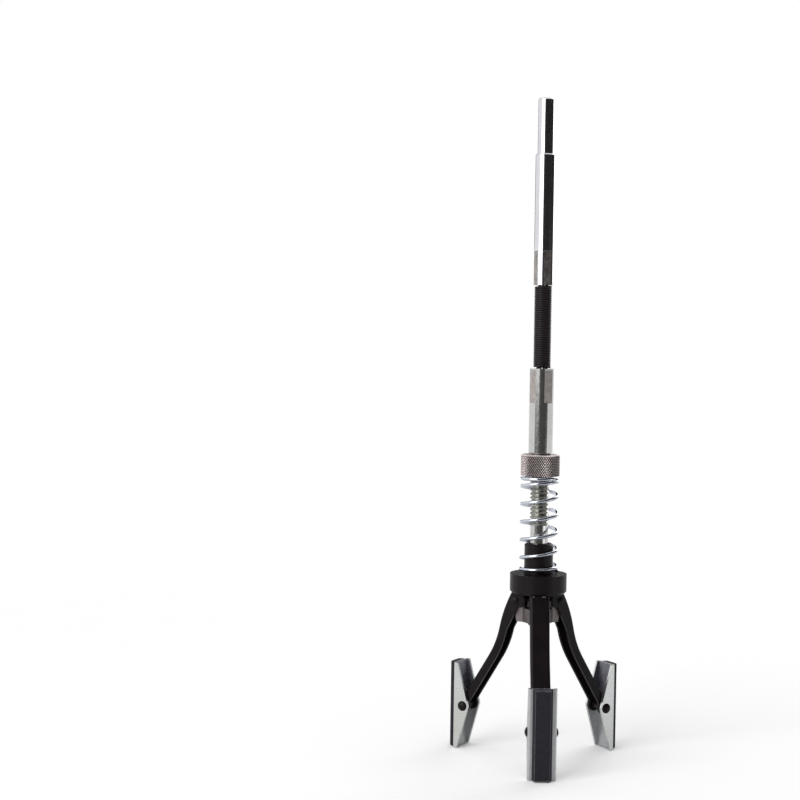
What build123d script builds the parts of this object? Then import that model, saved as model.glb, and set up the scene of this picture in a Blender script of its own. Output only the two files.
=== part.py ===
from build123d import *
import os
from math import asin, ceil, cos, pi, radians, sin

# Three-stone cylinder hone, in millimetres
# +Z runs up the tool's axis, the origin is the centre of the drive shank's top face
# The front arm points along -Y

# Drive shank and upper ferrule
shank_diameter = 5.1
shank_length = 17.9
shank_chamfer = 0.5
upper_ferrule_diameter = 6.3
upper_ferrule_length = 42.1
ferrule_chamfer = 0.35

# Crimps that hold the flexible shaft
crimp_length = 11.0
crimp_depth = 0.35
crimp_count = 4
socket_depth = 12.0
socket_clearance = 0.05

# Flexible shaft
flex_length = 27.0
flex_core_diameter = 3.8
flex_coil_diameter = 5.7
flex_end_gap = 0.15
coil_lining = 0.05

# Spindle: lower ferrule, threaded rod and plain rod
lower_ferrule_diameter = 7.8
lower_ferrule_length = 27.1
thread_diameter = 6.35
thread_length = 23.7
spindle_diameter = 5.8
hub_diameter = 6.6
hub_overhang = 0.9
hub_chamfer = 0.4

# Knurled nut
nut_diameter = 12.7
nut_height = 6.8
nut_top_gap = 0.6
nut_chamfer = 0.5
thread_clearance = 0.06

# Tension spring
spring_diameter = 12.8
spring_wire = 1.15
spring_length = 32.0
spring_seat_gap = 0.12
spring_end_pitch = 1.45
spring_lower_turns = 1.0
spring_active_turns = 4.75
spring_upper_turns = 1.25
spring_points_per_turn = 12

# Sliding collar
collar_neck_diameter = 9.3
collar_neck_height = 9.8
collar_flange_diameter = 18.4
collar_flange_height = 6.3
collar_bore_diameter = 6.7
collar_rim_chamfer = 0.7
collar_neck_chamfer = 0.5

# Arms, drawn hanging straight down from the pivot and then swung out
front_arm_angle = -90
arm_spacing_angle = 120
pivot_radius = 6.8
arm_length = 41.1
arm_rest_angle = 26.25
arm_width = 6.2
arm_sheet = 0.9
arm_channel_depth = 2.8
arm_bend_radius = 0.8
arm_back_offset = 2.5
arm_waist_radius = 42.0
arm_waist_angle = 15.0
arm_flare_radius = 30.0
arm_flare_angle = 20.2
arm_tip_radius = 2.1
arm_web_end = 4.2
throat_offset = 1.75
throat_length = 11.0

# Heel of the arm, the cam that the collar pushes on, as it lies with the arm at rest
heel_reach = 1.7
heel_rise = 1.3
heel_foot_drop = 0.8
heel_radius = 1.4
heel_gap = 0.15
shoulder_radius = 0.4

# Arm pivot pins
arm_pin_diameter = 1.9
arm_pin_head_diameter = 2.5
arm_pin_head_height = 0.45

# Bracket plates between the arms
plate_sheet = 0.9
ear_side_gap = 0.15
plate_distance = 4.0
ear_boss_radius = 1.45
ear_foot_inset = 0.1
plate_height = 4.5
plate_top_drop = 2.5

# Stone holders
holder_width = 9.0
holder_sheet = 1.0
holder_back_offset = 3.5
holder_ear_end = 1.5
holder_ear_radius = 2.0
holder_bend_radius = 0.8
holder_pin_diameter = 2.0
holder_pin_head_diameter = 2.6
holder_pin_head_height = 0.75

# Stones
stone_length = 28.6
stone_overhang = 0.1
stone_width = 6.3
stone_face_width = 4.7
stone_thickness = 2.1
stone_edge = 0.25

# Fits
pin_clearance = 0.05
head_gap = 0.1

# Stations down the axis, worked out from the sizes above
ferrule_top = -shank_length
flex_top = ferrule_top - upper_ferrule_length
flex_bottom = flex_top - flex_length
thread_top = flex_bottom - lower_ferrule_length
thread_bottom = thread_top - thread_length
nut_top = thread_top - nut_top_gap
nut_bottom = nut_top - nut_height
flange_top = nut_bottom - spring_length
flange_bottom = flange_top - collar_flange_height
pivot_z = flange_bottom - heel_gap - heel_radius - heel_rise
plate_top = pivot_z - plate_top_drop
plate_bottom = plate_top - plate_height

arm_names = {
    "front": front_arm_angle,
    "right": front_arm_angle + arm_spacing_angle,
    "left": front_arm_angle + 2 * arm_spacing_angle,
}
swing = radians(arm_rest_angle)
arm_reach = heel_reach + heel_rise + heel_radius
shoulder_across = arm_back_offset - shoulder_radius
shoulder_up = (heel_rise + heel_radius - shoulder_radius - shoulder_across * sin(swing)) / cos(swing)
holder_pin_radius = pivot_radius + arm_length * sin(swing)
holder_pin_z = pivot_z - arm_length * cos(swing)
holder_length = stone_length - 2 * stone_overhang
ear_face = arm_width / 2 - arm_sheet - ear_side_gap
ear_inner = ear_face - plate_sheet
fold = radians(90 - arm_spacing_angle / 2)

os.makedirs("parts", exist_ok=True)


def save(piece, label):
    """Label a finished piece and write it to its own file."""
    piece.part.label = label
    export_step(piece.part, f"parts/{label}.step")


def side_plane(azimuth, radius, height, tilt=0.0):
    """Plane through the axis at an azimuth: local x points outward, local y up, both tilted outward."""
    angle = radians(azimuth)
    lean = radians(tilt)
    outward = Vector(cos(angle), sin(angle), 0)
    sideways = Vector(sin(angle), -cos(angle), 0)
    local_x = outward * cos(lean) + Vector(0, 0, sin(lean))
    return Plane(origin=outward * radius + Vector(0, 0, height), x_dir=local_x, z_dir=sideways)


def at_rest(across, up):
    """A point beside the pivot as it lies at rest, in the frame of the arm hanging straight down."""
    return (across * cos(swing) + up * sin(swing), -across * sin(swing) + up * cos(swing))


def flats(distance, count, start_angle, reach):
    """Blocks round the axis whose inner faces lie at a distance from it, to cut flats with."""
    with BuildSketch() as blocks:
        with PolarLocations(distance + reach / 2, count, start_angle=start_angle):
            Rectangle(reach, 2 * reach)
    return blocks.sketch


# Drive shank with its ferrule
upper_crimps = flats(upper_ferrule_diameter / 2 - crimp_depth, crimp_count, 45, upper_ferrule_diameter)
with BuildPart() as drive_shank:
    with BuildSketch(Plane.XZ):
        with BuildLine():
            Polyline(
                (0, flex_top),
                (upper_ferrule_diameter / 2, flex_top),
                (upper_ferrule_diameter / 2, ferrule_top - ferrule_chamfer),
                (upper_ferrule_diameter / 2 - ferrule_chamfer, ferrule_top),
                (shank_diameter / 2, ferrule_top),
                (shank_diameter / 2, -shank_chamfer),
                (shank_diameter / 2 - shank_chamfer, 0),
                (0, 0),
                close=True,
            )
        make_face()
    revolve(axis=Axis.Z)
    with BuildSketch(Plane.XY.offset(flex_top)):
        add(upper_crimps)
    extrude(amount=crimp_length, mode=Mode.SUBTRACT)
    with Locations(Plane(origin=(0, 0, flex_top), z_dir=(0, 0, -1))):
        Hole(flex_core_diameter / 2 + socket_clearance, depth=socket_depth)
save(drive_shank, "drive_shank")

# Flexible shaft: wound core and the outer coil over it
core_end_gap = 0.3
core_top = flex_top + socket_depth - core_end_gap
core_bottom = flex_bottom - socket_depth + core_end_gap
with BuildPart() as flexible_core:
    with BuildSketch(Plane.XY.offset(core_bottom)):
        Circle(flex_core_diameter / 2)
    extrude(amount=core_top - core_bottom)
save(flexible_core, "flexible_core")

with BuildPart() as flexible_coil:
    with BuildSketch(Plane.XY.offset(flex_bottom + flex_end_gap)):
        Circle(flex_coil_diameter / 2)
        Circle(flex_core_diameter / 2 + coil_lining, mode=Mode.SUBTRACT)
    extrude(amount=flex_length - 2 * flex_end_gap)
save(flexible_coil, "flexible_coil")

# Spindle, with flats at its lower end where the bracket plates are welded on
plate_inner = plate_distance - plate_sheet
spindle_end = plate_bottom - hub_overhang
lower_crimps = flats(lower_ferrule_diameter / 2 - crimp_depth, crimp_count, 45, lower_ferrule_diameter)
hub_flats = flats(plate_inner, len(arm_names), front_arm_angle + arm_spacing_angle / 2, hub_diameter)
with BuildPart() as spindle:
    with BuildSketch(Plane.XZ):
        with BuildLine():
            Polyline(
                (0, flex_bottom),
                (lower_ferrule_diameter / 2, flex_bottom),
                (lower_ferrule_diameter / 2, thread_top + ferrule_chamfer),
                (lower_ferrule_diameter / 2 - ferrule_chamfer, thread_top),
                (thread_diameter / 2, thread_top),
                (thread_diameter / 2, thread_bottom),
                (spindle_diameter / 2, thread_bottom - (thread_diameter - spindle_diameter) / 2),
                (spindle_diameter / 2, plate_top),
                (hub_diameter / 2, plate_top),
                (hub_diameter / 2, spindle_end + hub_chamfer),
                (hub_diameter / 2 - hub_chamfer, spindle_end),
                (0, spindle_end),
                close=True,
            )
        make_face()
    revolve(axis=Axis.Z)
    with BuildSketch(Plane.XY.offset(flex_bottom - crimp_length)):
        add(lower_crimps)
    extrude(amount=crimp_length, mode=Mode.SUBTRACT)
    with Locations(Plane(origin=(0, 0, flex_bottom), z_dir=(0, 0, 1))):
        Hole(flex_core_diameter / 2 + socket_clearance, depth=socket_depth)
    with BuildSketch(Plane.XY.offset(spindle_end)):
        add(hub_flats)
    extrude(amount=plate_top - spindle_end, mode=Mode.SUBTRACT)
save(spindle, "spindle")

# Knurled nut
with BuildPart() as knurled_nut:
    with BuildSketch(Plane.XY.offset(nut_bottom)):
        Circle(nut_diameter / 2)
    extrude(amount=nut_height)
    chamfer(knurled_nut.edges().filter_by(GeomType.CIRCLE), nut_chamfer)
    with Locations((0, 0, nut_top)):
        Hole(thread_diameter / 2 + thread_clearance, depth=nut_height)
save(knurled_nut, "knurled_nut")


def spring_point(turn):
    """Centre of the spring's wire after so many turns up from the lower end."""
    rise_total = spring_length - 2 * spring_seat_gap - spring_wire
    active_rise = rise_total - (spring_lower_turns + spring_upper_turns) * spring_end_pitch
    low = min(turn, spring_lower_turns)
    middle = min(max(turn - spring_lower_turns, 0), spring_active_turns)
    high = max(turn - spring_lower_turns - spring_active_turns, 0)
    height = (low + high) * spring_end_pitch + middle * active_rise / spring_active_turns
    angle = 2 * pi * turn
    radius = (spring_diameter - spring_wire) / 2
    base = flange_top + spring_seat_gap + spring_wire / 2
    return (radius * cos(angle), radius * sin(angle), base + height)


# Tension spring, closed at both ends
spring_turns = spring_lower_turns + spring_active_turns + spring_upper_turns
spring_steps = ceil(spring_turns * spring_points_per_turn)
with BuildPart() as tension_spring:
    with BuildLine() as wire_path:
        Spline(*[spring_point(spring_turns * i / spring_steps) for i in range(spring_steps + 1)])
    with BuildSketch(Plane(origin=wire_path.line @ 0, z_dir=wire_path.line % 0)):
        Circle(spring_wire / 2)
    sweep(path=wire_path.line, is_frenet=True)
save(tension_spring, "tension_spring")

# Sliding collar
with BuildPart() as sliding_collar:
    with BuildSketch(Plane.XZ):
        with BuildLine():
            Polyline(
                (collar_bore_diameter / 2, flange_bottom),
                (collar_flange_diameter / 2 - collar_rim_chamfer, flange_bottom),
                (collar_flange_diameter / 2, flange_bottom + collar_rim_chamfer),
                (collar_flange_diameter / 2, flange_top),
                (collar_neck_diameter / 2, flange_top),
                (collar_neck_diameter / 2, flange_top + collar_neck_height - collar_neck_chamfer),
                (collar_neck_diameter / 2 - collar_neck_chamfer, flange_top + collar_neck_height),
                (collar_bore_diameter / 2, flange_top + collar_neck_height),
                close=True,
            )
        make_face()
    revolve(axis=Axis.Z)
save(sliding_collar, "sliding_collar")


def ear_outline():
    """Side outline of a bracket ear: the boss round the arm's pin and the leg down to the plate's foot."""
    ear_root = (plate_inner - ear_inner * cos(fold)) / sin(fold) - pivot_radius
    leg_length = plate_top_drop + plate_height
    with BuildSketch() as outline:
        with Locations(((ear_root - ear_foot_inset) / 2, -leg_length / 2)):
            Rectangle(-ear_foot_inset - ear_root, leg_length)
        Circle(ear_boss_radius)
        make_hull()
        Circle(arm_pin_diameter / 2, mode=Mode.SUBTRACT)
    return outline.sketch


# Bracket plates: a web between two arms, folded into an ear along each arm
plates = {"front_right": ("front", "right"), "rear": ("right", "left"), "front_left": ("left", "front")}
ear = ear_outline()
for place, (first, second) in plates.items():
    middle = arm_names[first] + arm_spacing_angle / 2
    half_inner = (plate_inner * cos(fold) - ear_inner) / sin(fold)
    half_outer = (plate_distance * cos(fold) - ear_face) / sin(fold)
    with BuildPart() as plate:
        with BuildSketch(Plane(origin=(0, 0, plate_bottom), x_dir=Vector(1, 0, 0).rotate(Axis.Z, middle))):
            with BuildLine():
                Polyline(
                    (plate_inner, -half_inner),
                    (plate_distance, -half_outer),
                    (plate_distance, half_outer),
                    (plate_inner, half_inner),
                    close=True,
                )
            make_face()
        extrude(amount=plate_height)
        with BuildSketch(side_plane(arm_names[first], pivot_radius, pivot_z).offset(-ear_face)):
            add(ear)
        extrude(amount=plate_sheet)
        with BuildSketch(side_plane(arm_names[second], pivot_radius, pivot_z).offset(ear_inner)):
            add(ear)
        extrude(amount=plate_sheet)
    save(plate, f"bracket_plate_{place}")


def arm_strip(depth, upper, lower):
    """The band of the arm from its back down to a depth: straight, in at the waist, then flared out."""
    ends = []
    with BuildSketch() as band:
        with BuildLine():
            for below in (0, depth):
                start = arm_back_offset - below
                top = Line((start, arm_reach), (start, 0))
                waist = JernArc(top @ 1, (0, -1), arm_waist_radius - below, -arm_waist_angle)
                flare = JernArc(waist @ 1, waist % 1, arm_flare_radius + below, arm_flare_angle)
                run = (arm_length + arm_reach + (flare @ 1).Y) / -(flare % 1).Y
                end = Line(flare @ 1, flare @ 1 + (flare % 1) * run)
                ends.append((top @ 0, end @ 1))
            Line(ends[0][0], ends[1][0])
            Line(ends[0][1], ends[1][1])
        make_face()
        with Locations((0, (upper + lower) / 2)):
            Rectangle(4 * arm_width, upper - lower, mode=Mode.INTERSECT)
    return band.sketch


def heel_outline():
    """The cam at the arm's top: nose, foot and outer shoulder, with straight sides between them."""
    with BuildSketch() as heel:
        with Locations(at_rest(-heel_reach, heel_rise), at_rest(-heel_reach, -heel_foot_drop)):
            Circle(heel_radius)
        with Locations((shoulder_across, shoulder_up), (shoulder_across, 0)):
            Circle(shoulder_radius)
        make_hull()
    return heel.sketch


def cheek_outline():
    """One side wall of the arm: heel, throat, strip and rounded tip, with its two pin holes."""
    with BuildSketch() as cheek:
        add(arm_strip(arm_channel_depth, -shoulder_radius, -arm_length))
        add(heel_outline())
        with BuildLine():
            Polyline(
                (shoulder_across, 0),
                (-throat_offset, 0),
                (-throat_offset, -throat_length),
                (arm_back_offset - arm_channel_depth, -throat_length),
                close=True,
            )
        make_face()
        with Locations((0, -arm_length)):
            Circle(arm_tip_radius)
            Circle(holder_pin_diameter / 2, mode=Mode.SUBTRACT)
        Circle(arm_pin_diameter / 2 + pin_clearance, mode=Mode.SUBTRACT)
    return cheek.sketch


def back_edges(piece, plane, width, beyond):
    """The edges along both sides of a piece that lie further out in the plane than a distance."""
    chosen = []
    for edge in piece.edges():
        middle = plane.to_local_coords(edge.center())
        if abs(abs(middle.Z) - width / 2) < 1e-4 and middle.X > beyond:
            chosen.append(edge)
    return chosen


# Arms: channels with their back outward, open towards the axis
cheek = cheek_outline()
web = arm_strip(arm_sheet, shoulder_up, arm_web_end - arm_length)
envelope = arm_strip(3 * arm_channel_depth, arm_reach, -arm_length - arm_tip_radius)
for name, azimuth in arm_names.items():
    arm_plane = side_plane(azimuth, pivot_radius, pivot_z, arm_rest_angle)
    with BuildPart() as rounded:
        with BuildSketch(arm_plane.offset(-arm_width / 2)):
            add(envelope)
        extrude(amount=arm_width)
        fillet(back_edges(rounded, arm_plane, arm_width, -arm_sheet), arm_bend_radius)
    with BuildPart() as arm:
        for side in (-arm_width / 2, arm_width / 2 - arm_sheet):
            with BuildSketch(arm_plane.offset(side)):
                add(cheek)
            extrude(amount=arm_sheet)
        with BuildSketch(arm_plane.offset(-arm_width / 2)):
            add(web)
        extrude(amount=arm_width)
        add(rounded.part, mode=Mode.INTERSECT)
    save(arm, f"arm_{name}")


def rivet_profile(shank_radius, half_grip, head_radius, head_height):
    """Half section of a domed rivet, its axis along local y."""
    dome_radius = (head_radius**2 + head_height**2) / (2 * head_height)
    dome_centre = half_grip + head_height - dome_radius
    half_turn = asin(head_radius / dome_radius) / 2
    middle = (dome_radius * sin(half_turn), dome_centre + dome_radius * cos(half_turn))
    with BuildSketch() as profile:
        with BuildLine():
            Polyline((0, 0), (shank_radius, 0), (shank_radius, half_grip), (head_radius, half_grip))
            ThreePointArc((head_radius, half_grip), middle, (0, half_grip + head_height))
            Line((0, half_grip + head_height), (0, 0))
        make_face()
        mirror(about=Plane.XZ)
    return profile.sketch


# Rivets: one through each arm's heel and the bracket ears, one through each arm's tip and its holder
arm_rivet = rivet_profile(
    arm_pin_diameter / 2, arm_width / 2 + head_gap, arm_pin_head_diameter / 2, arm_pin_head_height
)
holder_rivet = rivet_profile(
    holder_pin_diameter / 2, holder_width / 2 + head_gap, holder_pin_head_diameter / 2, holder_pin_head_height
)
rivets = {
    "arm_pivot_pin": (arm_rivet, pivot_radius, pivot_z),
    "holder_pin": (holder_rivet, holder_pin_radius, holder_pin_z),
}
for label, (profile, radius, height) in rivets.items():
    for name, azimuth in arm_names.items():
        across = side_plane(azimuth, radius, height)
        with BuildPart() as rivet:
            with BuildSketch(Plane(origin=across.origin, x_dir=across.x_dir, z_dir=(0, 0, -1))):
                add(profile)
            revolve(axis=Axis(across.origin, across.z_dir))
        save(rivet, f"{label}_{name}")


def holder_outline():
    """Side outline of a stone holder: the back strip and ears that rise to the pin at mid length."""
    with BuildSketch() as outline:
        with Locations((holder_back_offset - holder_ear_end / 2, 0)):
            Rectangle(holder_ear_end, holder_length)
        Circle(holder_ear_radius)
        make_hull()
        Circle(holder_pin_diameter / 2 + pin_clearance, mode=Mode.SUBTRACT)
    return outline.sketch


def stone_section():
    """Cross-section of a stone: wide where it sits on the holder, with chamfered sides."""
    front = holder_back_offset + stone_thickness
    with BuildSketch() as section:
        with BuildLine():
            Polyline(
                (holder_back_offset, -stone_width / 2),
                (holder_back_offset, stone_width / 2),
                (front, stone_face_width / 2),
                (front, -stone_face_width / 2),
                close=True,
            )
        make_face()
    return section.sketch


# Stone holders and their stones, upright at rest
ears = holder_outline()
section = stone_section()
for name, azimuth in arm_names.items():
    holder_plane = side_plane(azimuth, holder_pin_radius, holder_pin_z)
    with BuildPart() as holder:
        with BuildSketch(holder_plane.offset(-holder_width / 2)):
            add(ears)
        extrude(amount=holder_width)
        with BuildSketch(holder_plane.offset(holder_sheet - holder_width / 2)):
            with Locations((0, 0)):
                Rectangle(2 * (holder_back_offset - holder_sheet), 2 * holder_length)
        extrude(amount=holder_width - 2 * holder_sheet, mode=Mode.SUBTRACT)
        bends = back_edges(holder, holder_plane, holder_width, holder_back_offset - holder_bend_radius / 2)
        fillet(bends, holder_bend_radius)
    save(holder, f"stone_holder_{name}")

    with BuildPart() as stone:
        base = holder_plane.origin - Vector(0, 0, stone_length / 2)
        with BuildSketch(Plane(origin=base, x_dir=holder_plane.x_dir, z_dir=(0, 0, 1))):
            add(section)
        extrude(amount=stone_length)
        front_face = stone.faces().sort_by(Axis(holder_plane.origin, holder_plane.x_dir))[-1]
        chamfer(front_face.edges().filter_by(GeomType.LINE).filter_by(Plane.XY), stone_edge)
    save(stone, f"stone_{name}")
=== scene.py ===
from math import asin, atan2, cos, degrees, floor, hypot, inf, pi, radians, sin, tau

import bpy
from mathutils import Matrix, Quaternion, Vector


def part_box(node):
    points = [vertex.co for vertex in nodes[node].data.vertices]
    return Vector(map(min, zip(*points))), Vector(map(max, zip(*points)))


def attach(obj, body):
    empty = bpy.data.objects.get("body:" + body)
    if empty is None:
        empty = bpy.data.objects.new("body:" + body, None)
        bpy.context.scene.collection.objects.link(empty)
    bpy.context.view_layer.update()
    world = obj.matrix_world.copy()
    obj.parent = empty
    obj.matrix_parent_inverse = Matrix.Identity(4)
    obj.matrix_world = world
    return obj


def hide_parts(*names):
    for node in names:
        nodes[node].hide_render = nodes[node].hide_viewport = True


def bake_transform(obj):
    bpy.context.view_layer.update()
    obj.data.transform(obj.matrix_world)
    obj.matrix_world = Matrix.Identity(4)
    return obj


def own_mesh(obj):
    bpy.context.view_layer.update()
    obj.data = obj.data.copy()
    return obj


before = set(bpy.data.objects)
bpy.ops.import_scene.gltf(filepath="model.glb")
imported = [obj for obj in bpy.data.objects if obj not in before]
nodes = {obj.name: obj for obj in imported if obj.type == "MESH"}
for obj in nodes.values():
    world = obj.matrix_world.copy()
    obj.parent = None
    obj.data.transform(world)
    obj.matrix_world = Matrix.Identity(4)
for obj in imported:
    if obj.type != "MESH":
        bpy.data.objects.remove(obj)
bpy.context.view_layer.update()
mm = 0.001

# All sizes are in millimetres unless a comment says otherwise

# The three arms, and where they point in degrees about the tool's axis
arms = {"front": -90, "right": 30, "left": 150}

# Heights, counted down the axis from the shank's top face
shank_foot = -17.9
ferrule_mouth = -60.0
flex_middle = -73.5
lower_mouth = -87.0
thread_top = -114.1
ferrule_end = -114.5
nut_top = -114.7
nut_bottom = -121.8
thread_end = -137.8
flange_top = -153.5
hub_start = -159.5
hub_top = -165.15
hub_end = -170.55
holder_pin = -199.51
floor_level = -213.95

# Outer radii of the round pieces
shank_radius = 2.55
ferrule_radius = 3.15
coil_radius = 2.85
lower_radius = 3.9
rod_radius = 2.9
hub_radius = 3.2
nut_radius = 6.35

# Flats pressed into both ferrules: their number, length from the mouth, and depth
flat_count = 4
flat_length = 11.0
flat_depth = 0.35

# Stone holders: distance of their back from the axis, width, and the sheet that they are folded from
holder_back = 28.48
holder_width = 9.0
holder_sheet = 0.8


# Finishes

# How softly two tints meet in patches and in the grain
patch_softness = 0.2
grain_softness = 0.15

# Where in its noise the grain is at its glossiest and at its roughest
grain_low = 0.3
grain_high = 0.7

# How much rougher a worn place or a place of painted shade is, and how deep the grain's relief is
wear_and_shade_roughness = 0.3
relief_depth = 0.05


def feed(tree, socket, value):
    """A socket given a link or a plain value."""
    if isinstance(value, bpy.types.NodeSocket):
        tree.links.new(value, socket)
    else:
        socket.default_value = value


def reckon(tree, operation, *values):
    """One sum of a material, over sockets or plain numbers."""
    step = tree.nodes.new("ShaderNodeMath")
    step.operation = operation
    for socket, value in zip(step.inputs, values):
        feed(tree, socket, value)
    return step.outputs[0]


def remap(tree, value, lowest, highest, low=0.0, high=1.0, course="LINEAR"):
    """A value between lowest and highest brought between low and high."""
    scale = tree.nodes.new("ShaderNodeMapRange")
    scale.interpolation_type = course
    limits = {"From Min": lowest, "From Max": highest, "To Min": low, "To Max": high}
    for socket, limit in limits.items():
        scale.inputs[socket].default_value = limit
    tree.links.new(value, scale.inputs["Value"])
    return scale.outputs["Result"]


def clouds(tree, place, scale):
    """Soft noise over a piece's own space."""
    noise = tree.nodes.new("ShaderNodeTexNoise")
    noise.inputs["Scale"].default_value = scale
    noise.inputs["Detail"].default_value = 3.0
    tree.links.new(place, noise.inputs["Vector"])
    return noise.outputs["Fac"]


def tinted(tree, source, softness, first, last):
    """A colour that goes from one tint to another over the middle of a noise."""
    ramp = tree.nodes.new("ShaderNodeValToRGB")
    stops = zip(ramp.color_ramp.elements, (0.5 - softness, 0.5 + softness), (first, last))
    for stop, at, tint in stops:
        stop.position = at
        stop.color = (*tint, 1)
    tree.links.new(source, ramp.inputs["Fac"])
    return ramp.outputs["Color"]


def mixed(tree, share, first, second):
    """A colour between two, by a share from 0 to 1."""
    mix = tree.nodes.new("ShaderNodeMix")
    mix.data_type = "RGBA"
    tree.links.new(share, mix.inputs["Factor"])
    feed(tree, mix.inputs["A"], first)
    feed(tree, mix.inputs["B"], second)
    return mix.outputs["Result"]


def distance_out(tree, x, y):
    """Distance of a point from the tool's axis."""
    squares = [reckon(tree, "MULTIPLY", part, part) for part in (x, y)]
    return reckon(tree, "SQRT", reckon(tree, "ADD", *squares))


def within(low, high, radius):
    """Where a round piece lies between two heights and inside a radius."""
    def where(tree, x, y, z):
        sunk = reckon(tree, "LESS_THAN", distance_out(tree, x, y), radius * mm)
        above = reckon(tree, "GREATER_THAN", z, low * mm)
        below = reckon(tree, "LESS_THAN", z, high * mm)
        return reckon(tree, "MULTIPLY", sunk, reckon(tree, "MULTIPLY", above, below))
    return where


def painted_holder_shade(tree, x, y, z):
    """Painted shade inside a stone holder, where it is folded round its channel, and half as strong where
    it shows beside the stone.
    The painted shade in the channel is darkest at its top, and half as dark from its rivet down."""
    reach = distance_out(tree, x, y)
    around = reckon(tree, "ADD", reckon(tree, "ARCTAN2", y, x), pi / 2)
    bearing = reckon(tree, "WRAP", around, pi / 3, -pi / 3)
    outward = reckon(tree, "MULTIPLY", reach, reckon(tree, "COSINE", bearing))
    across = reckon(tree, "ABSOLUTE", reckon(tree, "MULTIPLY", reach, reckon(tree, "SINE", bearing)))
    between = reckon(tree, "LESS_THAN", across, (holder_width / 2 - holder_sheet) * mm)
    behind = reckon(tree, "LESS_THAN", outward, (holder_back - 0.6) * mm)
    beside = reckon(tree, "GREATER_THAN", outward, (holder_back - 0.3) * mm)
    half, gain = 0.5, 0.10
    height = reckon(tree, "MULTIPLY_ADD", z, gain / mm, half - gain * holder_pin)
    shade_by_height = reckon(tree, "MINIMUM", reckon(tree, "MAXIMUM", height, half), 1.0)
    folded = reckon(tree, "MULTIPLY", reckon(tree, "MULTIPLY", between, behind), shade_by_height)
    return reckon(tree, "ADD", folded, reckon(tree, "MULTIPLY", beside, half))


def finish(name, tint, second, metal, gloss, grain=900.0, patch=160.0, bump=0.0, sheen=0.5, wear_and_shade=None):
    """A surface with two tints in soft patches, fine grain in its gloss and a light unevenness.
    The last argument gives where it is rougher and otherwise tinted, real wear on some pieces and painted
    shade on others, and the two tints that it has there."""
    surface = bpy.data.materials.new(name)
    surface.use_nodes = True
    tree = surface.node_tree
    shader = tree.nodes["Principled BSDF"]
    place = tree.nodes.new("ShaderNodeTexCoord").outputs["Object"]
    fine = clouds(tree, place, grain)
    colour = tinted(tree, clouds(tree, place, patch), patch_softness, second, tint)
    roughness = remap(tree, fine, grain_low, grain_high, *gloss)
    # Worn places, and places of painted shade, get their own two tints and more roughness
    if wear_and_shade:
        where, wear_and_shade_tint, wear_and_shade_second = wear_and_shade
        parts = tree.nodes.new("ShaderNodeSeparateXYZ")
        tree.links.new(place, parts.inputs["Vector"])
        share = where(tree, *parts.outputs)
        colour = mixed(tree, share, colour, tinted(tree, fine, grain_softness, wear_and_shade_tint, wear_and_shade_second))
        roughness = reckon(tree, "MULTIPLY_ADD", share, wear_and_shade_roughness, roughness)
    shader.inputs["Metallic"].default_value = metal
    shader.inputs["Specular IOR Level"].default_value = sheen
    tree.links.new(colour, shader.inputs["Base Color"])
    tree.links.new(roughness, shader.inputs["Roughness"])
    if bump:
        relief = tree.nodes.new("ShaderNodeBump")
        relief.inputs["Strength"].default_value = bump
        relief.inputs["Distance"].default_value = relief_depth * mm
        tree.links.new(fine, relief.inputs["Height"])
        tree.links.new(relief.outputs["Normal"], shader.inputs["Normal"])
    return surface


# The worn places are the flats of both ferrules, and the valleys of the nut's knurl take painted shade; all
# lie just under the turned size
upper_flats = within(ferrule_mouth - 0.1, ferrule_mouth + flat_length - 0.05, ferrule_radius - 0.03)
lower_flats = within(lower_mouth - flat_length, lower_mouth - 0.5, lower_radius - 0.03)
knurl_valley_shade = within(nut_bottom + 0.22, nut_top - 0.45, nut_radius - 0.15)

chrome = finish(
    "bright_chrome", (0.73, 0.73, 0.76), (0.66, 0.66, 0.69), 1.0, (0.10, 0.14),
    wear_and_shade=(upper_flats, (0.24, 0.215, 0.205), (0.42, 0.39, 0.37)),
)
zinc_bar = finish(
    "bright_zinc_bar", (0.58, 0.58, 0.57), (0.50, 0.50, 0.49), 0.93, (0.14, 0.18),
    wear_and_shade=(lower_flats, (0.34, 0.31, 0.30), (0.46, 0.43, 0.41)),
)
thread_zinc = finish("zinc_thread", (0.53, 0.53, 0.50), (0.41, 0.41, 0.38), 1.0, (0.24, 0.36))
black_wire = finish(
    "blackened_wire", (0.009, 0.006, 0.0065), (0.015, 0.010, 0.011), 0.0, (0.34, 0.48),
    bump=0.10, sheen=0.3,
)
bare_wire = finish("core_wire", (0.30, 0.29, 0.28), (0.20, 0.19, 0.18), 1.0, (0.30, 0.45), bump=0.10)
# Knurled nut: its valleys are darkened, brownish, with painted shade
nut_grey = finish(
    "knurled_grey", (0.74, 0.66, 0.65), (0.62, 0.55, 0.54), 1.0, (0.30, 0.42),
    wear_and_shade=(knurl_valley_shade, (0.12, 0.10, 0.10), (0.22, 0.19, 0.19)),
)
spring_plate = finish("spring_plating", (0.66, 0.69, 0.76), (0.56, 0.59, 0.66), 1.0, (0.08, 0.15))
satin_black = finish(
    "satin_black", (0.0060, 0.0040, 0.0050), (0.0100, 0.0070, 0.0080), 0.0, (0.32, 0.42),
    bump=0.10, sheen=0.15,
)
plate_zinc = finish(
    "dull_zinc", (0.24, 0.215, 0.215), (0.16, 0.14, 0.14), 1.0, (0.40, 0.54),
    grain=1500, bump=0.20,
)
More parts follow.
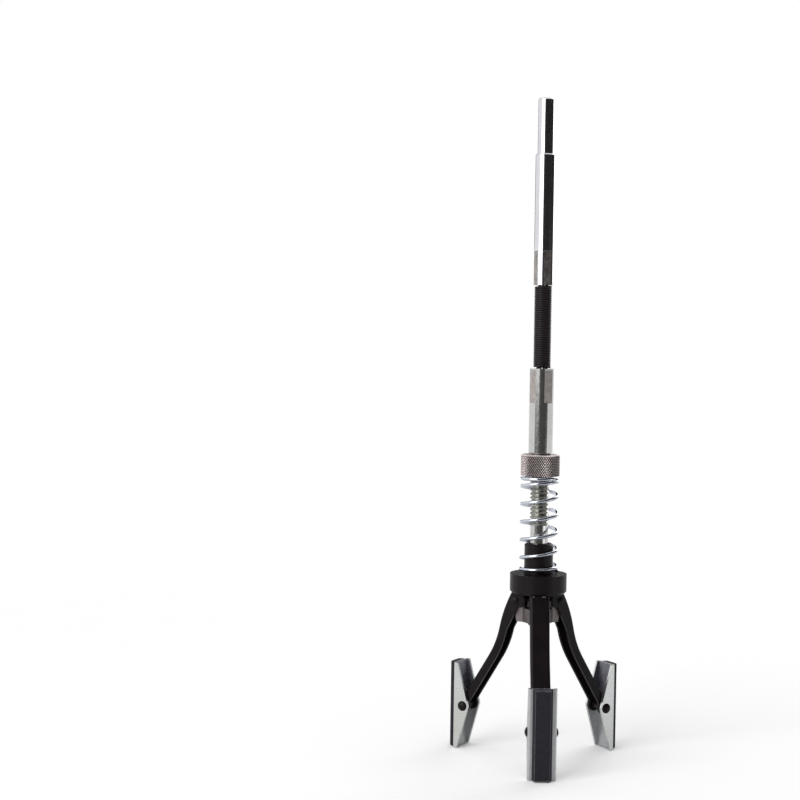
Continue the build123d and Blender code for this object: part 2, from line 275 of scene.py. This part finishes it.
# Stone holders: inside their channels the zinc is darkened a little blue with painted shade, darkest at the
# top, and half as much beside the stones
holder_zinc = finish(
    "bright_zinc", (0.78, 0.80, 0.81), (0.70, 0.72, 0.67), 1.0, (0.25, 0.29),
    patch=70, wear_and_shade=(painted_holder_shade, (0.24, 0.24, 0.29), (0.36, 0.36, 0.40)),
)
stone_grit = finish(
    "stone_grit", (0.009, 0.008, 0.0125), (0.018, 0.0165, 0.023), 0.0, (0.62, 0.85),
    grain=2600, patch=1500, bump=0.5, sheen=0.3,
)
# Stone edges: a lighter grey on the stones' softened edges, a painted highlight
stone_edge_highlight = finish(
    "stone_edge_highlight", (0.12, 0.12, 0.135), (0.05, 0.05, 0.06), 0.0, (0.62, 0.85),
    grain=2600, patch=900, bump=0.5, sheen=0.3,
)


# Making the pieces

def edit(action=None, kind=None):
    """Edit mode, for points, edges or faces, with everything selected, nothing, or what was."""
    bpy.ops.object.mode_set(mode="EDIT")
    if kind:
        bpy.ops.mesh.select_mode(type=kind)
    if action:
        bpy.ops.mesh.select_all(action=action)


def leave():
    """Back to object mode."""
    bpy.ops.object.mode_set(mode="OBJECT")


def deselect():
    """Nothing selected, in object mode."""
    if bpy.context.mode != "OBJECT":
        leave()
    bpy.ops.object.select_all(action="DESELECT")


def pick(piece):
    """One piece selected and active."""
    deselect()
    piece.select_set(True)
    bpy.context.view_layer.objects.active = piece


def fix_place():
    """The active piece's place, turn and scale put into its mesh."""
    bpy.ops.object.transform_apply(location=True, rotation=True, scale=True)


def settle(piece, angle=30):
    """Place put into the mesh, doubles merged, faces turned outward, and round faces shaded smooth."""
    pick(piece)
    fix_place()
    edit("SELECT")
    bpy.ops.mesh.remove_doubles(threshold=1e-6)
    bpy.ops.mesh.normals_make_consistent(inside=False)
    leave()
    bpy.ops.object.shade_smooth_by_angle(angle=radians(angle))
    return piece


def apply_all(piece):
    """Every modifier of a piece made final."""
    pick(piece)
    for change in list(piece.modifiers):
        bpy.ops.object.modifier_apply(modifier=change.name)


def soften(piece, width, angle):
    """A small bevel on the edges that are sharper than an angle."""
    edge = piece.modifiers.new("edge", "BEVEL")
    edge.width = width * mm
    edge.segments = 2
    edge.limit_method = "ANGLE"
    edge.angle_limit = radians(angle)
    return edge


def dress(piece, name, surface, body, slot_name, *replaced):
    """A finished piece named, given its finish and set to ride its body."""
    piece.name = name
    piece.data.name = name
    piece.data.materials.clear()
    piece.data.materials.append(surface)
    if body:
        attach(piece, body)
    if replaced:
        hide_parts(*replaced)
    return piece


def turned(stations, sides=64):
    """A round bar turned to a list of radius and height, from its first end to its last."""
    deselect()
    radius, height = stations[0]
    bpy.ops.mesh.primitive_circle_add(
        vertices=sides, radius=radius * mm, fill_type="NGON", location=(0, 0, height * mm)
    )
    bar = bpy.context.object
    edit()
    for next_radius, next_height in stations[1:]:
        rise = (0, 0, (next_height - height) * mm)
        bpy.ops.mesh.extrude_region_move(TRANSFORM_OT_translate={"value": rise})
        ratio = next_radius / radius
        bpy.ops.transform.resize(value=(ratio, ratio, 1), center_override=(0, 0, next_height * mm))
        radius, height = next_radius, next_height
    leave()
    return bar


def crimped(stations, mouth, way, first_flat):
    """A turned ferrule with flats pressed in from its mouth, upward or downward, by a block each time."""
    tube = turned(stations)
    radius = max(station[0] for station in stations)
    block_depth, block_width, overhang = 4.0, 8.0, 2.0
    reach = radius - flat_depth + block_depth / 2
    level = mouth + way * (flat_length - overhang) / 2
    for number in range(flat_count):
        deselect()
        turn = radians(first_flat + 360 / flat_count * number)
        bpy.ops.mesh.primitive_cube_add(
            size=1,
            location=(reach * cos(turn) * mm, reach * sin(turn) * mm, level * mm),
            rotation=(0, 0, turn),
            scale=(block_depth * mm, block_width * mm, (flat_length + overhang) * mm),
        )
        block = bpy.context.object
        press = tube.modifiers.new("press", "BOOLEAN")
        press.operation = "DIFFERENCE"
        press.solver = "EXACT"
        press.object = block
        apply_all(tube)
        bpy.data.objects.remove(block)
    settle(tube)
    soften(tube, 0.08, 15)
    apply_all(tube)
    return settle(tube, 14)


def wound(radius, wire, pitch, turns, base, sides, steps, start=0.0):
    """Round wire wound up about the axis from a height, with closed ends and so many steps a turn."""
    deselect()
    bpy.ops.mesh.primitive_circle_add(
        vertices=sides, radius=wire / 2 * mm, location=(radius * mm, 0, base * mm), rotation=(pi / 2, 0, 0)
    )
    coil = bpy.context.object
    fix_place()
    coil.rotation_euler = (0, 0, start * tau)
    fix_place()
    wind = coil.modifiers.new("wind", "SCREW")
    wind.angle = turns * tau
    wind.screw_offset = turns * pitch * mm
    wind.steps = round(turns * steps)
    wind.render_steps = wind.steps
    apply_all(coil)
    edit("SELECT")
    bpy.ops.mesh.fill_holes(sides=0)
    leave()
    return coil


# Flexible shaft: a close-wound outer coil over a stranded core, each in two halves
coil_wire = 0.72
coil_turns = 36
coil_gap = 0.15
coil_length = ferrule_mouth - lower_mouth - 2 * coil_gap
coil_pitch = (coil_length - coil_wire) / coil_turns
coil_foot = lower_mouth + coil_gap + coil_wire / 2
strand_count = 6
strand_radius = 1.22
strand_wire = 1.26
strand_pitch = 14.0
strand_length = 25.1
strand_turns = strand_length / strand_pitch
bend_gap = 0.2
for half, upper, lower, bend_top, bend_foot, halves_below in (
    ("upper", "drive_end", "flexible_shaft", ferrule_mouth - bend_gap, flex_middle, 1),
    ("lower", "flexible_shaft", "spindle_head", flex_middle, lower_mouth + bend_gap, 0),
):
    coil_base = coil_foot + halves_below * coil_turns / 2 * coil_pitch
    coil = wound(
        coil_radius - coil_wire / 2, coil_wire, coil_pitch, coil_turns / 2, coil_base, sides=8, steps=28
    )
    settle(coil, 60)
    dress(coil, f"flexible_coil_{half}", black_wire, None, "blackened_wire", "flexible_coil")
    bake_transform(coil)

    strand_base = flex_middle - (1 - halves_below) * strand_length
    strands = []
    for number in range(strand_count):
        twist = number / strand_count + halves_below * strand_turns
        strand = wound(
            strand_radius, strand_wire, strand_pitch, strand_turns, strand_base,
            sides=8, steps=26, start=twist,
        )
        strands.append(strand)
    pick(strands[0])
    for strand in strands:
        strand.select_set(True)
    bpy.ops.object.join()
    core = settle(strands[0], 60)
    dress(core, f"flexible_core_{half}", bare_wire, None, "wound_wire", "flexible_core")
    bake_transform(core)

# Drive shank with its ferrule, and the lower ferrule, both pressed over the flexible shaft
shank_stations = [
    (ferrule_radius - 0.45, ferrule_mouth),
    (ferrule_radius, ferrule_mouth),
    (ferrule_radius, ferrule_mouth + flat_length - 0.2),
    (ferrule_radius, ferrule_mouth + flat_length + 0.4),
    (ferrule_radius, shank_foot - 0.7),
    (ferrule_radius, shank_foot - 0.35),
    (ferrule_radius - 0.35, shank_foot),
    (shank_radius, shank_foot),
    (shank_radius, shank_foot + 0.6),
    (shank_radius, -0.9),
    (shank_radius, -0.5),
    (shank_radius - 0.5, 0),
]
shank = crimped(shank_stations, ferrule_mouth, 1, 21)
dress(shank, "drive_shank_bar", chrome, "drive_end", "chromed_steel", "drive_shank")
ferrule_stations = [
    (lower_radius - 0.5, lower_mouth),
    (lower_radius, lower_mouth),
    (lower_radius, lower_mouth - flat_length + 0.2),
    (lower_radius, lower_mouth - flat_length - 0.4),
    (lower_radius, ferrule_end + 0.8),
    (lower_radius, ferrule_end + 0.35),
    (lower_radius - 0.35, ferrule_end),
    (2.0, ferrule_end),
]
ferrule = crimped(ferrule_stations, lower_mouth, -1, 35)
dress(ferrule, "lower_ferrule", zinc_bar, "spindle_head", "zinc_plated_steel", "spindle")

# Threaded rod under the nut: the profile of one turn, an upright line of points, wound up and trimmed.
# root_flat and flank are shares of half a pitch
thread_pitch = 1.27
thread_turns = 22
thread_steps = 40
thread_root = 2.52
thread_depth = 0.65
root_flat = 0.12
flank = 0.74
deselect()
bpy.ops.mesh.primitive_plane_add(
    size=thread_pitch * mm, location=(rod_radius * mm, 0, 0), rotation=(pi / 2, 0, 0)
)
thread = bpy.context.object
fix_place()
edit("SELECT")
bpy.ops.mesh.delete(type="ONLY_FACE")
leave()
for point in thread.data.vertices:
    point.select = point.co.x < rod_radius * mm
edit()
bpy.ops.mesh.delete(type="VERT")
bpy.ops.mesh.select_all(action="SELECT")
bpy.ops.mesh.subdivide(number_cuts=7)
leave()
for point in thread.data.vertices:
    step = abs(point.co.z) / (thread_pitch / 2 * mm)
    share = min(1, max(0, (step - root_flat) / flank))
    point.co.x = (thread_root + thread_depth * share) * mm
    point.co.z += thread_end * mm - 2 * thread_pitch * mm
wind = thread.modifiers.new("wind", "SCREW")
wind.angle = tau
wind.screw_offset = thread_pitch * mm
wind.iterations = thread_turns
wind.steps = thread_steps
wind.render_steps = thread_steps
apply_all(thread)
edit("SELECT")
bpy.ops.mesh.remove_doubles(threshold=2e-6)
for height, above in ((thread_top + 0.6, True), (thread_end - 0.02, False)):
    bpy.ops.mesh.select_all(action="SELECT")
    bpy.ops.mesh.bisect(
        plane_co=(0, 0, height * mm), plane_no=(0, 0, 1), use_fill=True,
        clear_outer=above, clear_inner=not above,
    )
leave()

# Its faces come out of settle turned inward, so they are turned round
settle(thread)
edit("SELECT")
bpy.ops.mesh.flip_normals()
leave()
dress(thread, "spindle_thread", thread_zinc, "spindle_head", "zinc_plated_steel", "spindle")

# Plain rod below the thread, and the hub that carries the bracket plates
rod_stations = [
    (rod_radius - 0.5, thread_end + 1.2),
    (rod_radius - 0.3, thread_end + 0.3),
    (rod_radius, thread_end),
    (rod_radius, hub_start),
    (rod_radius - 0.3, hub_start),
]
rod = settle(turned(rod_stations))
dress(rod, "spindle_rod", zinc_bar, "spindle_head", "zinc_plated_steel", "spindle")
hub_stations = [
    (rod_radius - 0.2, hub_start + 0.2),
    (rod_radius, hub_start),
    (rod_radius, hub_top + 0.02),
    (hub_radius - 0.1, hub_top),
    (hub_radius, hub_top - 0.15),
    (hub_radius, hub_end + 0.4),
    (hub_radius - 0.4, hub_end),
]
hub = settle(turned(hub_stations))
dress(hub, "spindle_hub", plate_zinc, "spindle_head", "zinc_plated_steel", "spindle")

# Knurled nut: a band of squares, each split corner to corner so that the lines cross in diamonds
knurl_columns = 104
knurl_rows = 12
knurl_depth = 0.26
band_foot = nut_bottom + 0.25
band_top = nut_top - 0.5
row_height = (band_top - band_foot) / knurl_rows
deselect()
bpy.ops.mesh.primitive_circle_add(
    vertices=knurl_columns, radius=nut_radius * mm, location=(0, 0, band_foot * mm)
)
nut = bpy.context.object
fix_place()
edit("SELECT", "EDGE")
for row in range(knurl_rows):
    bpy.ops.mesh.extrude_edges_move(TRANSFORM_OT_translate={"value": (0, 0, row_height * mm)})


def knurl_place(point):
    """Column and row of a point on the nut's band."""
    column = atan2(point.y, point.x) / tau * knurl_columns
    row = (point.z / mm - band_foot) / row_height
    return column, row


for parity, split in ((0, "FIXED"), (1, "FIXED_ALTERNATE")):
    edit("DESELECT", "FACE")
    leave()
    for face in nut.data.polygons:
        column, row = knurl_place(face.center)
        face.select = len(face.vertices) == 4 and (floor(column) + floor(row)) % 2 == parity
    edit()
    bpy.ops.mesh.quads_convert_to_tris(quad_method=split)
leave()

# The points that the split lines start from are the valleys, and are pushed in
split_ends = [0, 0]
for line in nut.data.edges:
    first, second = (nut.data.vertices[i].co for i in line.vertices)
    upright = abs(first.z - second.z) > 1e-5
    if upright and (first - second).length > row_height * 1.2 * mm:
        split_ends[round(sum(knurl_place(first))) % 2] += 1
valley = 0 if split_ends[0] > split_ends[1] else 1
for point in nut.data.vertices:
    if round(sum(knurl_place(point.co))) % 2 == valley:
        point.co.x *= 1 - knurl_depth / nut_radius
        point.co.y *= 1 - knurl_depth / nut_radius

# The nut's two ends, in rings of a scale and a rise each, from the knurl over the edge to the bore
end_rings = ((0.985, 0.10), (0.955, 0.22), (0.94, 0.14), (0.93, 0.04), (0.65, 0.0), (0.95, -0.15))
for level, way in ((band_top, 1.0), (band_foot, -0.5)):
    pick(nut)
    edit("DESELECT", "EDGE")
    leave()
    for line in nut.data.edges:
        line.select = all(abs(nut.data.vertices[i].co.z - level * mm) < 1e-6 for i in line.vertices)
    edit()
    for scale, rise in end_rings:
        bpy.ops.mesh.extrude_edges_move(TRANSFORM_OT_translate={"value": (0, 0, way * rise * mm)})
        bpy.ops.transform.resize(value=(scale, scale, 1), center_override=(0, 0, level * mm))
    leave()

# Its bore, a little wider at both ends, joined by one wall
bore_radius = 3.25
bore_mouth_radius = 3.45
for point in nut.data.vertices:
    reach = hypot(point.co.x, point.co.y) / mm
    if reach < 4:
        sunk = nut_bottom + 0.05 < point.co.z / mm < nut_top - 0.05
        bore = bore_radius if sunk else bore_mouth_radius
        point.co.x *= bore / reach
        point.co.y *= bore / reach
pick(nut)
edit("DESELECT", "EDGE")
bpy.ops.mesh.select_non_manifold()
bpy.ops.mesh.bridge_edge_loops()
leave()
settle(nut, 8)
dress(nut, "knurled_nut_body", nut_grey, "nut", "grey_nut_metal", "knurled_nut")

# Tension spring: closed at both ends and open between, its end lying flat under the nut
spring_radius = 5.825
spring_wire = 1.15
spring_steps = 40
even_pitch = 1.45
spring_gap = 0.12
spring_foot = flange_top + spring_gap + spring_wire / 2
spring_end = 6.86
split_turn = 1.25

# The turn up to which each pitch holds, and the pitch
spring_pitches = ((1.0, even_pitch), (5.75, 5.815), (6.5, 1.5), (inf, 0.6))


def spring_height(turn):
    """Height of the wire's centre after so many turns, above the first."""
    height = 0
    before = 0
    for last, pitch in spring_pitches:
        height += pitch * min(max(turn - before, 0), last - before)
        before = last
    return height


def spring_part(first, last):
    """The spring's wire from one turn to another, wound evenly and then drawn out to its heights."""
    base = spring_foot + even_pitch * first
    part = wound(
        spring_radius, spring_wire, even_pitch, last - first, base,
        sides=14, steps=spring_steps, start=first,
    )
    for point in part.data.vertices:
        angle = atan2(point.co.y, point.co.x) / tau
        level = (point.co.z / mm - spring_foot) / even_pitch
        turn = round(level - angle) + angle
        nearby = [spring_height(turn + step / spring_steps) for step in range(-5, 6)]
        smooth = sum(nearby) / len(nearby)
        point.co.z += (smooth - even_pitch * turn) * mm
    return settle(part, 60)


lower_coil = spring_part(0.0, split_turn)
dress(lower_coil, "tension_spring_foot", spring_plate, None, "spring_steel", "tension_spring")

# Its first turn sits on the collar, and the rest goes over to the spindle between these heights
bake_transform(lower_coil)
upper_coil = spring_part(split_turn, spring_end)
dress(upper_coil, "tension_spring_coils", spring_plate, "spindle_head", "spring_steel", "tension_spring")
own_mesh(upper_coil)

# Rivets that the stone holders swivel on, with a wide domed head at both ends, one turned and copied
rivet_shank = 1.0
rivet_head = 1.65
dome_height = 0.75
dome_steps = 8
under_head = 4.55
dome_radius = (rivet_head ** 2 + dome_height ** 2) / (2 * dome_height)
dome = []
for step in range(1, dome_steps + 1):
    turn = asin(rivet_head / dome_radius) * step / dome_steps
    dome.append((dome_radius * sin(turn), under_head + dome_height - dome_radius * (1 - cos(turn))))
rivet_stations = [
    *((radius, -height) for radius, height in dome),
    (rivet_shank, -under_head),
    (rivet_shank, under_head),
    *reversed(dome),
]
pattern = turned(rivet_stations, 32)
pick(pattern)
fix_place()
for side, azimuth in arms.items():
    rivet = pattern.copy()
    rivet.data = pattern.data.copy()
    bpy.context.collection.objects.link(rivet)
    low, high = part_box(f"holder_pin_{side}")
    rivet.location = (Vector(low) + Vector(high)) / 2
    rivet.rotation_euler = (-pi / 2, 0, radians(azimuth))
    settle(rivet)
    dress(rivet, f"holder_rivet_{side}", satin_black, f"{side}_arm", "black_metal", f"holder_pin_{side}")
bpy.data.objects.remove(pattern)

# Pieces that keep their solid: their finish, whether they are welded, and the width of their soft edge
for name, surface, welded, soft in (
    ("sliding_collar", satin_black, False, 0),
    ("bracket_plate_front_right", plate_zinc, True, 0.10),
    ("bracket_plate_rear", plate_zinc, True, 0.10),
    ("bracket_plate_front_left", plate_zinc, True, 0.10),
    *((f"arm_pivot_pin_{side}", satin_black, True, 0) for side in arms),
    *((f"arm_{side}", satin_black, False, 0) for side in arms),
    *((f"stone_holder_{side}", holder_zinc, False, 0) for side in arms),
    *((f"stone_{side}", stone_grit, True, 0.20) for side in arms),
):
    piece = nodes[name]
    piece.data.materials.clear()
    piece.data.materials.append(surface)
    if welded:
        weld = piece.modifiers.new("weld", "WELD")
        weld.merge_threshold = 1e-6
    if soft:
        edge = soften(piece, soft, 30)
        edge.harden_normals = True
        # The stones' softened edges take the lighter grey of the painted highlight
        if surface is stone_grit:
            piece.data.materials.append(stone_edge_highlight)
            edge.material = 1

# Stage, in metres: a pale floor that shows white to the camera and fades out away from the tool
floor_radius = 1.2
floor_tone = (0.8, 0.8, 0.8, 1)
floor_seen_tone = (1.2, 1.2, 1.2, 1)
fade_start = 0.12
fade_end = 0.45
deselect()
bpy.ops.mesh.primitive_circle_add(
    vertices=96, radius=floor_radius, fill_type="NGON", location=(0, 0, floor_level * mm)
)
ground = bpy.context.object
ground.name = "floor"
paper = bpy.data.materials.new("pale_floor")
paper.use_nodes = True
tree = paper.node_tree
base = tree.nodes["Principled BSDF"]
base.inputs["Roughness"].default_value = 0.9
base.inputs["Specular IOR Level"].default_value = 0.1
path = tree.nodes.new("ShaderNodeLightPath")
tone = mixed(tree, path.outputs["Is Camera Ray"], floor_tone, floor_seen_tone)
tree.links.new(tone, base.inputs["Base Color"])
place = tree.nodes.new("ShaderNodeTexCoord")
far = tree.nodes.new("ShaderNodeVectorMath")
far.operation = "LENGTH"
tree.links.new(place.outputs["Object"], far.inputs[0])
fade = remap(tree, far.outputs["Value"], fade_start, fade_end, course="SMOOTHSTEP")
clear = tree.nodes.new("ShaderNodeBsdfTransparent")
blend = tree.nodes.new("ShaderNodeMixShader")
tree.links.new(fade, blend.inputs["Fac"])
tree.links.new(base.outputs["BSDF"], blend.inputs[1])
tree.links.new(clear.outputs["BSDF"], blend.inputs[2])
tree.links.new(blend.outputs["Shader"], tree.nodes["Material Output"].inputs["Surface"])
ground.data.materials.append(paper)

# Surround: white to the camera and in reflections, weaker as light
surround_light = 0.55
surround = bpy.data.worlds.new("surround")
bpy.context.scene.world = surround
surround.use_nodes = True
tree = surround.node_tree
back = tree.nodes["Background"]
back.inputs["Color"].default_value = (1, 1, 1, 1)
path = tree.nodes.new("ShaderNodeLightPath")
seen = reckon(tree, "MAXIMUM", path.outputs["Is Camera Ray"], path.outputs["Is Glossy Ray"])
seen = reckon(tree, "MAXIMUM", seen, path.outputs["Is Transmission Ray"])
strength = remap(tree, seen, 0.0, 1.0, surround_light, 1.0)
tree.links.new(strength, back.inputs["Strength"])

# Dark screens that only gloss reflects, cut from a sphere of tiles about the tool, in metres.
# Each one's lowest and highest rise as a share of the radius, and its bearings in degrees from the front
screen_radius = 1.6
screen_centre = -0.1
screens = (
    (0.02, 0.90, -18, 126),
    (-0.20, 0.02, -64, 62),
    (-0.50, -0.20, -40, 62),
    (0.05, 0.60, -180, -150),
    (0.05, 0.60, 150, 180),
)
black_card = bpy.data.materials.new("black_card")
black_card.use_nodes = True
card_shader = black_card.node_tree.nodes["Principled BSDF"]
card_shader.inputs["Base Color"].default_value = (0.02, 0.02, 0.02, 1)
card_shader.inputs["Roughness"].default_value = 1.0
deselect()
bpy.ops.mesh.primitive_uv_sphere_add(
    segments=72, ring_count=36, radius=screen_radius, location=(0, 0, screen_centre)
)
screen = bpy.context.object
screen.name = "dark_screens"
fix_place()
edit("DESELECT", "FACE")
leave()
for tile in screen.data.polygons:
    bearing = degrees(atan2(tile.center.x, -tile.center.y))
    rise = (tile.center.z - screen_centre) / screen_radius
    tile.select = not any(
        low < rise < high and first < bearing < last for low, high, first, last in screens
    )
edit()
bpy.ops.mesh.delete(type="FACE")
leave()
screen.data.materials.append(black_card)
screen.visible_camera = False
screen.visible_diffuse = False
screen.visible_shadow = False

# Soft square lamps: where they stand and how wide they are, in metres, and their power in watts
middle = Vector((0, 0, -0.11))
for name, spot, size, power in (
    ("key", (-0.95, -0.95, 0.40), 1.0, 11.0),
    ("fill", (0.32, -0.20, -0.25), 0.20, 0.14),
    ("rim", (0.5, 0.9, 0.35), 0.8, 3.5),
):
    bpy.ops.object.light_add(type="AREA", location=spot)
    lamp = bpy.context.object
    lamp.name = name
    lamp.data.size = size
    lamp.data.energy = power
    lamp.visible_camera = False
    lamp.rotation_euler = (middle - Vector(spot)).to_track_quat("-Z", "Y").to_euler()

# Camera, in metres: left of the tool and above its middle, turned a little left, tipped down and rolled
camera_spot = (-0.0381, -0.5186, -0.0777)
camera_turn = radians(-0.85)
camera_dip = radians(2.22)
camera_roll = radians(0.8)
bpy.ops.object.camera_add(location=camera_spot)
camera = bpy.context.object
camera.name = "camera"
camera.data.lens = 72
camera.data.sensor_width = 36
camera.data.clip_start = 0.01
aim = Vector((sin(camera_turn), cos(camera_turn), 0)) * cos(camera_dip)
aim.z = -sin(camera_dip)
camera.rotation_mode = "QUATERNION"
camera.rotation_quaternion = aim.to_track_quat("-Z", "Y") @ Quaternion((0, 0, 1), camera_roll)
bpy.context.scene.camera = camera
bpy.context.scene.view_settings.view_transform = "Standard"
